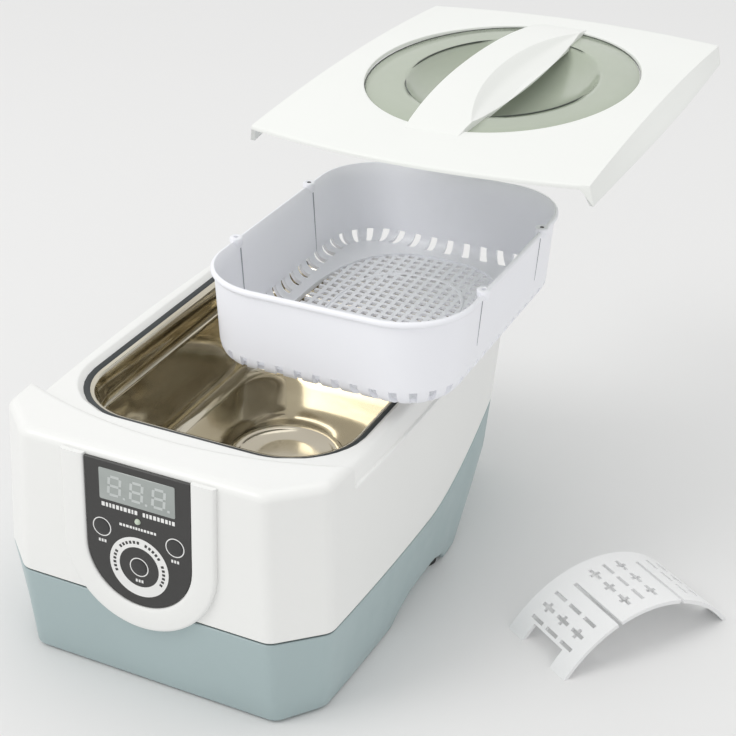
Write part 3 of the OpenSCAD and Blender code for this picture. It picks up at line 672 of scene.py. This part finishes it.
def make_tank():
    hx, hy = TANK_W / 2, TANK_L / 2
    rings = [tank_ring(hx + 9.4, hy + 9.4, TANK_R + 9.4, 113.6),
             tank_ring(hx + 1.6, hy + 1.6, TANK_R + 1.6, 113.9),
             tank_ring(hx + 0.6, hy + 0.6, TANK_R + 0.6, 113.7),
             tank_ring(hx, hy, TANK_R, 112.9), tank_ring(hx - 0.6, hy - 0.6, TANK_R - 0.4, 104)]
    # fill line pressed into the wall
    rings += [tank_ring(hx - 1.0, hy - 1.0, TANK_R - 0.7, 97.6),
              tank_ring(hx - 1.75, hy - 1.75, TANK_R - 1.2, 97.0),
              tank_ring(hx - 1.75, hy - 1.75, TANK_R - 1.2, 96.0),
              tank_ring(hx - 1.1, hy - 1.1, TANK_R - 0.8, 95.4),
              tank_ring(hx - 2.2, hy - 2.2, TANK_R - 1.5, 78)]
    for i in range(9):
        a = math.radians(90 * i / 8)
        inset = 3 + 10 * (1 - math.cos(a))
        z = TANK_FLOOR + TANK_ROUND - TANK_ROUND * math.sin(a)
        rings.append(tank_ring(hx - inset, hy - inset, TANK_R - inset * 0.77, z))
    # floor, with a round pad pressed in its middle
    floor = tank_ring(hx - TANK_ROUND, hy - TANK_ROUND, TANK_R - 10, TANK_FLOOR)
    for t in (0.25, 0.6, 1.0):
        ring = []
        for x, y, _ in floor:
            d = Vector((x, y - TANK_Y))
            p = d * (1 - t) + d.normalized() * 31 * t
            ring.append((p.x, p.y + TANK_Y, TANK_FLOOR))
        rings.append(ring)
    for r, z in ((30.3, 51.5), (29.5, 51.9), (26.5, 51.9), (25.7, 51.5), (25.0, 51.0),
                 (14, 51.0), (4, 51.0)):
        rings.append([(r * x / math.hypot(x, y - TANK_Y),
                       TANK_Y + r * (y - TANK_Y) / math.hypot(x, y - TANK_Y), z)
                      for x, y, _ in rings[-1]])
    tank = solidify(loft("tank_basin", rings, cap_end=True), 0.9, 1, 50)
    dress(tank, STEEL, "base", "polished_steel", "tank")

    seal = []
    for i in range(12):
        a = 2 * math.pi * i / 12
        grow = 4.4 + 3.0 * math.cos(a) * (1.0 if math.cos(a) > 0 else 0.95)
        seal.append(tank_ring(hx + grow, hy + grow, TANK_R + grow,
                              114.75 + 0.74 * math.sin(a)))
    gasket = loft("seal_ring", seal, around=True, smooth=60)
    dress(gasket, SEAL, "base", "seal_rubber", "tank_seal")


# ---------------------------------------------------------------- basket
def basket_ring(grow, z, r_less=0.0):
    bx, by, bz = BASKET_AT
    ring = round_rect(BASKET_W / 2 + grow, BASKET_L / 2 + grow, BASKET_R + grow - r_less, z,
                      16, 14)
    return shifted(ring, bx, by, bz)


def basket_wall(z):
    """How far the outside of the wall stands in from the rim at a height."""
    t = max(0.0, min(1.0, (z - 7) / (BASKET_H - 7)))
    return -1.5 - 2.6 * (1 - t)


SLOT_TOP, FOOT_CURVE = 8.0, 7.4
BASKET_OVAL_X, BASKET_OVAL_Y = BASKET_W / 2 - 16.5, BASKET_L / 2 - 16.5
OVAL_POWER = 2.6


def oval_size(x, y):
    """1 on the edge of the squarish oval in the basket's floor, less inside it."""
    return (abs(x) / BASKET_OVAL_X) ** OVAL_POWER + (abs(y) / BASKET_OVAL_Y) ** OVAL_POWER


def basket_skin():
    """The wall, with a rolled bead for a rim."""
    heights = (SLOT_TOP, 16, 26, 36, 41.5)
    outer = [basket_ring(basket_wall(z), z, 1 + (1 - z / BASKET_H) * 1.5) for z in heights]
    bead = []
    for i in range(9):
        a = math.radians(-75 + 22 * i)
        bead.append(basket_ring(-1.5 + 1.5 * math.cos(a), 43.4 + 1.6 * math.sin(a), 1))
    inner = [basket_ring(basket_wall(z) - 2, z, 1 + (1 - z / BASKET_H) * 1.5)
             for z in reversed(heights)]
    return loft("basket_wall", outer + bead + inner, around=True, smooth=50)


def basket_corner(inset):
    """How much tighter the corners are where the wall turns in to the floor."""
    return 2 + 0.62 * (-inset - 4)


def basket_strips():
    """Curved strips that carry the floor, with slots between them."""
    count, width, parts = 56, 5.6, 3
    paths, inside = [], []
    for i in range(9):
        a = math.radians(90 * i / 8)
        inset, z = basket_wall(0) - FOOT_CURVE * (1 - math.cos(a)), 8.4 - 8.2 * math.sin(a)
        paths.append(basket_ring(inset, z, basket_corner(inset)))
        inside.append(basket_ring(inset - 2.0 * math.cos(a), z + 2.0 * math.sin(a),
                                  basket_corner(inset)))
    verts, faces = [], []
    n, rows = len(paths[0]), len(paths)
    length, total = [0.0], 0.0
    for i in range(n):
        a, b = Vector(paths[0][i]), Vector(paths[0][(i + 1) % n])
        total += (b - a).length
        length.append(total)
    pitch = total / count

    def at(path, s):
        s %= total
        k = 0
        while length[k + 1] < s:
            k += 1
        t = (s - length[k]) / (length[k + 1] - length[k])
        return Vector(path[k]) * (1 - t) + Vector(path[(k + 1) % n]) * t

    for k in range(count):
        for sub in range(parts):
            s0 = k * pitch + sub * width / parts
            base = len(verts)
            for side in (s0, s0 + width / parts):
                verts += [at(path, side) for path in paths + inside]
            w = 2 * rows
            for j in range(rows - 1):
                faces.append((base + j, base + j + 1, base + w + j + 1, base + w + j))
                faces.append((base + rows + j, base + w + rows + j, base + w + rows + j + 1,
                              base + rows + j + 1))
            for edge in ([0] if sub == 0 else []) + ([w] if sub == parts - 1 else []):
                for j in range(rows - 1):
                    faces.append((base + edge + j, base + edge + rows + j,
                                  base + edge + rows + j + 1, base + edge + j + 1))
    return new_object("basket_strips", verts, faces, 50)


def basket_floor():
    """A solid border, a lattice of square holes inside it and a round line on the lattice."""
    bx, by, bz = BASKET_AT
    inset = basket_wall(0) - FOOT_CURVE
    border = [basket_ring(inset + 0.5, z, basket_corner(inset)) for z in (0.2, 2.2)]

    def oval(scale, z):
        out = []
        for x, y, _ in border[0]:
            d = Vector((x - bx, y - by))
            t = 1 / oval_size(d.x, d.y) ** (1 / OVAL_POWER)
            out.append((bx + d.x * t * scale, by + d.y * t * scale, bz + z))
        return out

    plate = loft("basket_border", [border[0], border[1], oval(1.0, 2.2), oval(1.0, 2.9),
                                   oval(0.97, 2.9), oval(0.97, 0.2)], around=True, smooth=30)
    pitch, hole = 5.5, 3.2
    lines_x, lines_y = [], []
    for lines, reach in ((lines_x, BASKET_OVAL_X), (lines_y, BASKET_OVAL_Y)):
        k = int(reach // pitch)
        for i in range(-k, k + 1):
            lines += [i * pitch - hole / 2, i * pitch + hole / 2]
    verts = [(bx + x, by + y, bz + 1.0) for y in lines_y for x in lines_x]
    faces = []
    m = len(lines_x)
    for j in range(len(lines_y) - 1):
        for i in range(m - 1):
            if i % 2 == 0 and j % 2 == 0:
                continue
            cx = (lines_x[i] + lines_x[i + 1]) / 2
            cy = (lines_y[j] + lines_y[j + 1]) / 2
            if oval_size(cx, cy) > 1.02:
                continue
            a = j * m + i
            faces.append((a, a + 1, a + m + 1, a + m))
    lattice = new_object("basket_lattice", verts, faces, 30)
    bm = bmesh.new()
    bm.from_mesh(lattice.data)
    bmesh.ops.delete(bm, geom=[v for v in bm.verts if not v.link_faces], context="VERTS")
    bm.to_mesh(lattice.data)
    bm.free()
    lattice = solidify(lattice, 1.5, 0, 30)
    ring_line = [oval(s, z) for s, z in ((0.66, 1.7), (0.655, 2.25), (0.635, 2.25), (0.63, 1.7))]
    return [plate, lattice, loft("basket_ring_line", ring_line, around=True, smooth=50)]


def make_basket():
    bx, by, bz = BASKET_AT
    pieces = [basket_skin(), basket_strips(), *basket_floor()]
    boss = [(1.2, -3.0), (2.6, -3.2), (3.1, -2.0), (3.3, -0.4), (3.3, 0.9), (3.0, 1.35),
            (2.5, 1.5), (1.35, 1.5), (1.15, 1.3), (1.15, -1.6), (0.0, -1.6)]
    for sx in (-1, 1):
        for dy in BOSS_Y:
            pieces.append(lathe("boss", boss, (bx + sx * BOSS_X, by + dy, bz + BASKET_H),
                                steps=32))
    basket = join("basket_tray", pieces)
    shade(basket, 40)
    dress(basket, BASKET, "basket", "basket_plastic", "basket")

    # narrow slits in the side walls under the bosses, drawn as thin grey strips of painted shade,
    # and the pinholes, drawn as black caps of painted shade
    verts, faces = [], []
    rows, slit_top = 10, 41
    for sx in (-1, 1):
        for dy in BOSS_Y:
            for skin, low in ((0.06, 17), (-2.06, 8)):
                base = len(verts)
                for k in range(rows + 1):
                    z = slit_top - (slit_top - low) * k / rows
                    half = 0.42 * (1 - (k / rows) ** 2) + 0.1
                    x = bx + sx * (BASKET_W / 2 + basket_wall(z) + skin)
                    verts.append((x, by + dy - half, bz + z))
                    verts.append((x, by + dy + half, bz + z))
                for k in range(rows):
                    a = base + 2 * k
                    faces.append((a, a + 1, a + 3, a + 2))
    slits = solidify(new_object("basket_slits_painted_shade", verts, faces), 0.08, 0)
    dress(slits, SHADOW_LINE, "basket", "basket_plastic")
    # painted shade: black caps stand for the shade in the pinholes
    pinhole_shade_cap = [(1.1, -1.5), (1.1, 1.2), (0.9, 1.42), (0.0, 1.45)]
    pinhole_shade_caps = [lathe("pinhole_shade_cap", pinhole_shade_cap, (bx + sx * BOSS_X, by + BOSS_Y[1], bz + BASKET_H), steps=24)
            for sx in (-1, 1)]
    dress(join("basket_pinholes_painted_shade", pinhole_shade_caps), BLACK, "basket", "basket_plastic")


# ---------------------------------------------------------------- lid
def lid_front(x):
    return -LID_L / 2 - LID_BOW * (1 - (x / (LID_W / 2)) ** 2)


def lid_rear(x):
    return LID_L / 2 + 6 * (1 - (x / (LID_W / 2)) ** 2)


def lid_height(x, y):
    """Height of the lid's crowned top over its corners."""
    cx = max(-LID_W / 2, min(LID_W / 2, x))
    y0, y1 = lid_front(cx), lid_rear(cx)
    v = max(0.0, min(1.0, (y - y0) / (y1 - y0)))
    return LID_CROWN * (1 - (2 * v - 1) ** 2) + 1.5 * (1 - (cx / (LID_W / 2)) ** 2)


def at_lid(x, y, z):
    return (LID_AT[0] + x, LID_AT[1] + y, LID_AT[2] + z)


WINDOW_Y = 3


def lid_boundary(count_side=60, count_end=44):
    """Points round the lid's edge, each with a mark of which edge it is on."""
    half = LID_W / 2
    pts = []
    for i in range(count_end):
        x = -half + 2 * half * i / count_end
        pts.append((x, lid_front(x), "front"))
    for i in range(count_side):
        y0, y1 = lid_front(half), lid_rear(half)
        pts.append((half, y0 + (y1 - y0) * i / count_side, "side"))
    for i in range(count_end):
        x = half - 2 * half * i / count_end
        pts.append((x, lid_rear(x), "rear"))
    for i in range(count_side):
        y0, y1 = lid_rear(half), lid_front(half)
        pts.append((-half, y0 + (y1 - y0) * i / count_side, "side"))
    return pts


def lid_sheet():
    """The lid's skin, from the window's edge out to the ends and down the flared skirts."""
    edge = lid_boundary()
    y_lo, y_hi = lid_front(LID_W / 2), lid_rear(LID_W / 2)

    def blend_ring(t, lift=0.0):
        ring = []
        for x, y, _ in edge:
            a = math.atan2((y - WINDOW_Y) / (WINDOW_L / 2), x / (WINDOW_W / 2))
            ex = (WINDOW_W / 2) * math.cos(a)
            ey = WINDOW_Y + (WINDOW_L / 2) * math.sin(a)
            px, py = ex + (x - ex) * t, ey + (y - ey) * t
            ring.append(at_lid(px, py, lid_height(px, py) + lift))
        return ring

    def edge_ring(out, drop, fall):
        ring = []
        for x, y, kind in edge:
            z = lid_height(x, y)
            if kind == "side":
                v = (y - y_lo) / (y_hi - y_lo)
                wide = SKIRT_W * (0.35 + 0.65 * math.sin(math.pi * max(0, min(1, v))))
                sx = 1 if x > 0 else -1
                low = z - SKIRT_DROP * drop - 0.4 * (out > 0)
                ring.append(at_lid(x + sx * wide * out, y, low))
            else:
                sy = -1 if kind == "front" else 1
                ring.append(at_lid(x, y + sy * fall[0], z - fall[1]))
        return ring

    rings = [blend_ring(0.0, -1.9), blend_ring(0.0, -0.5), blend_ring(0.006, -0.12)]
    for t in (0.02, 0.12, 0.25, 0.4, 0.55, 0.7, 0.82, 0.92, 0.975):
        rings.append(blend_ring(t))
    for out, drop, fall in ((0.0, 0.0, (-0.5, 0.05)), (0.12, 0.08, (0.0, 0.4)),
                            (0.35, 0.33, (0.15, 0.9)), (0.7, 0.68, (0.2, 1.3)),
                            (0.97, 0.95, (0.2, 1.7)), (1.0, 1.0, (0.15, 1.9))):
        rings.append(edge_ring(out, drop, fall))
    return solidify(loft("lid_sheet", rings, smooth=40), 2.0, -1, 40)


def handle_bar():
    """A bar across the window, barrel-shaped in plan, with a hollow down its right side."""
    rows, cols, flat = 48, 18, 11
    widest_lens, bar_depth = 15.5, 3.4
    reach = WINDOW_L / 2 + 5
    w = cols + 1
    verts, faces = [], []

    def bar_edges(t):
        swell = 1 - t * t
        return -(13.5 + 5.5 * swell), 12.5 + 2.5 * swell

    for k in range(rows + 1):
        t = -1 + 2 * k / rows
        left, right = bar_edges(t)
        y = WINDOW_Y + t * reach
        crest = 0.5 + 3.4 * (1 - abs(t) ** 3)
        lens = widest_lens * max(0.0, 1 - (t / 0.84) ** 2) ** 0.9
        crease = right - max(lens, 0.6)
        for c in range(cols + 1):
            if c <= flat:
                x = left + (crease - left) * c / flat
            else:
                x = crease + (right - crease) * (c - flat) / (cols - flat)
            u = (x - left) / (right - left)
            base = lid_height(0, y)
            z = base + crest * (1 - 0.18 * (2 * u - 1) ** 2)
            ends = ease((1 - abs(t)) / 0.07)
            z = base + (z - base) * ends + 0.05
            into = x - crease
            if into > 0 and lens > 0.5:
                dip = (3.2 + 4.6 * min(1.0, into / lens)) * min(1.0, 3 * into / lens)
                z -= dip * lens / widest_lens
            verts.append(at_lid(x, y, z))
    for k in range(rows):
        for c in range(cols):
            a = k * w + c
            faces.append((a, a + 1, a + w + 1, a + w))
    top = len(verts)
    for k in range(rows + 1):
        y = WINDOW_Y + (-1 + 2 * k / rows) * reach
        low = lid_height(0, y) - bar_depth
        for c in range(cols + 1):
            verts.append((verts[k * w + c][0], LID_AT[1] + y, LID_AT[2] + low))
    for k in range(rows):
        for c in range(cols):
            a = top + k * w + c
            faces.append((a, a + w, a + w + 1, a + 1))
        for c, flip in ((0, False), (cols, True)):
            a, b = k * w + c, (k + 1) * w + c
            quad = (a, b, b + top, a + top)
            faces.append(quad[::-1] if flip else quad)
    for k, flip in ((0, True), (rows, False)):
        for c in range(cols):
            a = k * w + c
            quad = (a, a + 1, a + 1 + top, a + top)
            faces.append(quad if flip else quad[::-1])
    bar = bevel(new_object("bar", verts, faces, 40), 0.9, 3, 50, 40)
    shade(bar, 17)
    return bar


def make_lid():
    cover = lid_sheet()
    bar = handle_bar()
    bar.name = "lid_handle"
    dress(bar, LID, "lid", "white_shell")
    cover.name = "lid_shell"
    dress(cover, LID, "lid", "white_shell", "lid_cover")

    # oval pane with its finger dish
    def ellipse(a, b, z, n=120):
        return [at_lid(a * math.cos(2 * math.pi * i / n),
                       WINDOW_Y + b * math.sin(2 * math.pi * i / n), z) for i in range(n)]

    profile = [(64.4, 85.9, -0.2), (64.4, 85.9, 1.9), (63.9, 85.4, 2.2), (56, 75, 2.5),
               (48, 65, 2.7), (46.2, 63.2, 2.6), (45.2, 62.2, 2.0), (44.2, 61.2, 0.6),
               (40.5, 57.0, -2.6), (36, 51, -4.9), (29, 42, -6.8), (20, 30, -7.9),
               (10, 15, -8.3)]
    pane = loft("window_pane", [ellipse(*p) for p in profile], cap_end=True, smooth=50)
    pane = solidify(pane, 1.5, -1, 50)
    dress(pane, WINDOW, "lid", "smoked_window", "lid_window")

    # dark joint round the pane, and painted shade along parts of the dish's rims
    def line(a, b, z, start, end, width, n=64):
        rings = []
        for i in range(n + 1):
            ang = math.radians(start + (end - start) * i / n)
            r = width * max(min(1.0, 6 * min(i, n - i) / n), 0.12)
            c = Vector(at_lid(a * math.cos(ang), WINDOW_Y + b * math.sin(ang), z))
            out = Vector((math.cos(ang) / a, math.sin(ang) / b, 0)).normalized()
            rings.append([tuple(c + out * r * math.cos(q) + Vector((0, 0, 1)) * r * math.sin(q))
                          for q in [2 * math.pi * s / 8 for s in range(8)]])
        return loft("line", rings, cap_start=True, cap_end=True, smooth=60)

    # the first is the pane's joint; the four short arcs are painted shade on the dish's rim
    lines = [line(64.8, 86.3, 2.0, 0, 360 * 63 / 64, 0.35),
             line(45.6, 62.6, 2.9, 122, 190, 0.42), line(45.6, 62.6, 2.9, 205, 232, 0.3),
             line(45.6, 62.6, 2.9, -72, -8, 0.42), line(45.6, 62.6, 2.9, 58, 84, 0.3)]
    dress(join("window_joint_and_shade_lines", lines), WINDOW_JOINT_AND_SHADE, "lid", "smoked_window")


# ---------------------------------------------------------------- carried-over CAD nodes
FINISHES = {
    "display_module": BLACK, "indicator_led": LED, "control_board": BOARD,
    "tact_switches": BLACK, "tank_clamps": ZINC, "clamp_screws": ZINC,
    "transducer_front_mass": ALUMINIUM, "piezo_rings": CERAMIC, "electrodes": COPPER,
    "transducer_back_mass": ZINC, "transducer_bolt": ZINC, "driver_board": BOARD,
    "inductor": COPPER, "heat_sink": ALUMINIUM, "power_transistors": BLACK,
    "film_capacitors": WIRE, "fuse": CERAMIC, "board_screws": ZINC, "housing_screws": ZINC,
    "rubber_feet": FOOT, "power_inlet": BLACK, "inlet_pins": COPPER, "inner_leads": WIRE,
    "window_clips": LID, "watch_rack": RACK,
}
for node, mat in FINISHES.items():
    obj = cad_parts[node]
    obj.data.materials.clear()
    obj.data.materials.append(mat)

make_upper()
make_lower()
make_bezel()
make_label()
make_print()
make_display()
make_buttons()
make_tank()
make_basket()
make_lid()


# ---------------------------------------------------------------- floor, light and camera
def make_floor():
    size = 40.0
    mesh = bpy.data.meshes.new("floor")
    mesh.from_pydata([(-size, -size, 0), (size, -size, 0), (size, size, 0), (-size, size, 0)],
                     [], [(0, 1, 2, 3)])
    floor = bpy.data.objects.new("floor", mesh)
    bpy.context.scene.collection.objects.link(floor)
    mesh.materials.append(material("pale_floor", (0.80, 0.80, 0.80), rough=0.9, patch=0.005,
                                   patch_scale=2, grain=0.0))


def area_light(name, place, target, size, power, colour=(1, 1, 1)):
    data = bpy.data.lights.new(name, "AREA")
    data.shape = "DISK"
    data.size, data.energy, data.color = size, power, colour
    lamp = bpy.data.objects.new(name, data)
    bpy.context.scene.collection.objects.link(lamp)
    lamp.location = place
    lamp.rotation_mode = "QUATERNION"
    lamp.rotation_quaternion = (Vector(target) - Vector(place)).to_track_quat("-Z", "Y")


def make_light():
    bpy.context.scene.view_settings.view_transform = "Standard"
    world = bpy.data.worlds.new("studio")
    bpy.context.scene.world = world
    world.use_nodes = True
    back = world.node_tree.nodes["Background"]
    back.inputs["Color"].default_value = (1.0, 1.0, 0.995, 1)
    back.inputs["Strength"].default_value = 0.84
    area_light("key", (-1.1, -1.3, 1.9), (0.03, 0.0, 0.08), 1.2, 14, (1.0, 0.99, 0.97))
    area_light("top", (0.2, 0.5, 2.2), (0.05, 0.05, 0.1), 1.6, 5)


def make_camera():
    data = bpy.data.cameras.new("camera")
    cam = bpy.data.objects.new("camera", data)
    bpy.context.scene.collection.objects.link(cam)
    yaw, pitch, roll = math.radians(25.935), math.radians(28.7171), math.radians(0.4094)
    back = Vector((math.sin(yaw) * math.cos(pitch), -math.cos(yaw) * math.cos(pitch),
                   math.sin(pitch)))
    right = (-back).cross(Vector((0, 0, 1))).normalized()
    up = right.cross(-back)
    turned = right * math.cos(roll) + up * math.sin(roll)
    upright = -right * math.sin(roll) + up * math.cos(roll)
    basis = Matrix((turned, upright, back)).transposed().to_4x4()
    basis.translation = Vector((333.77, -623.78, 496.11)) * MM
    cam.matrix_world = basis
    data.sensor_width = 36
    data.lens = 78.54
    data.shift_x = 0.0516
    data.clip_start, data.clip_end = 0.05, 30
    bpy.context.scene.camera = cam


make_floor()
make_light()
make_camera()
